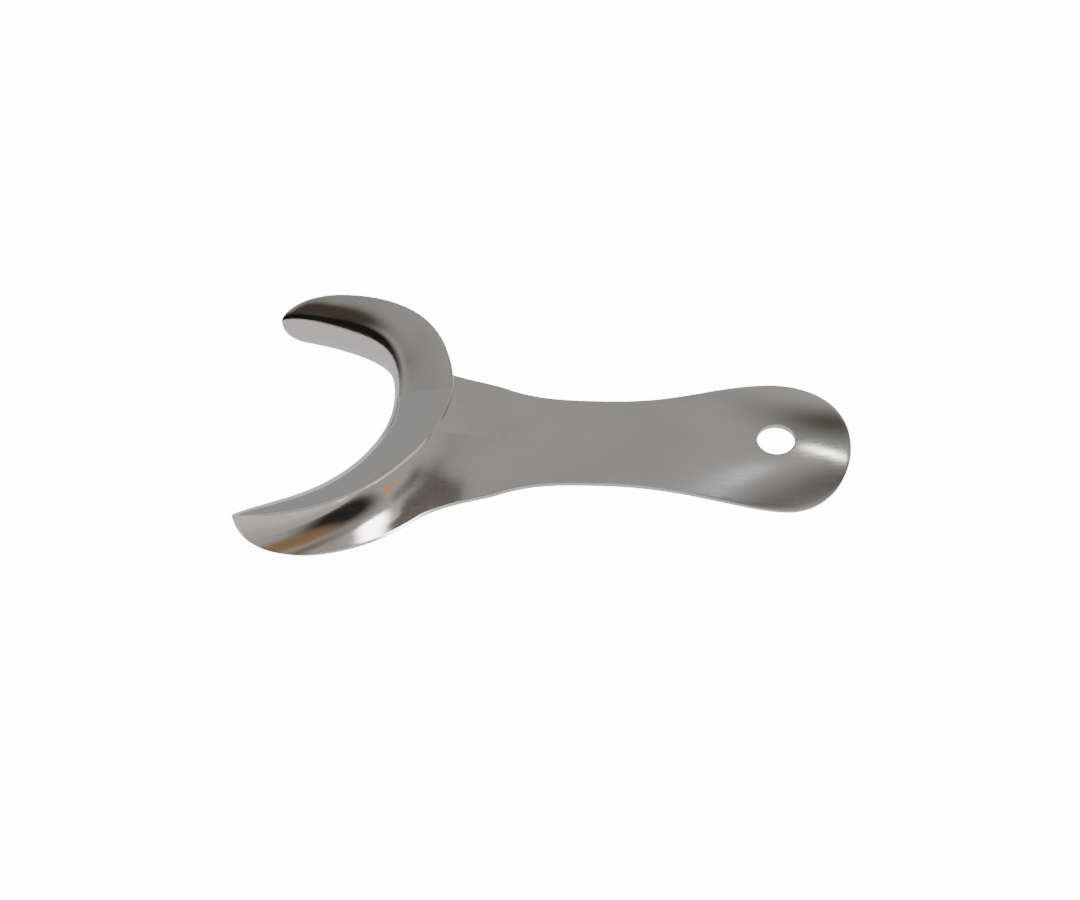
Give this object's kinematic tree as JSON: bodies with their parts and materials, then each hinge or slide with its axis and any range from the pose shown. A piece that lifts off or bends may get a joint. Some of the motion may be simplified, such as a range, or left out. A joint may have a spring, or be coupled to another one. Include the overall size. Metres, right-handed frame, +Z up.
{
  "type": "cheek retractor",
  "caption": "One-piece sheet steel cheek retractor: a C-shaped lip trough on a flat, crowned handle with a hanging hole.",
  "frame": {"origin": "centre of the footprint, on the table that the retractor lies on", "axes": "+X from the C-shaped head to the handle's end, +Z up, Y across between the two arms; XZ is the plane of symmetry"},
  "size_m": [0.1282, 0.0612, 0.0201],
  "materials": {
    "satin_steel": "fine satin, lightly polished on the formed head and on the handle's end"
  },
  "bodies": {
    "root": {"retractor_body": "satin_steel"}
  },
  "joints": []
}
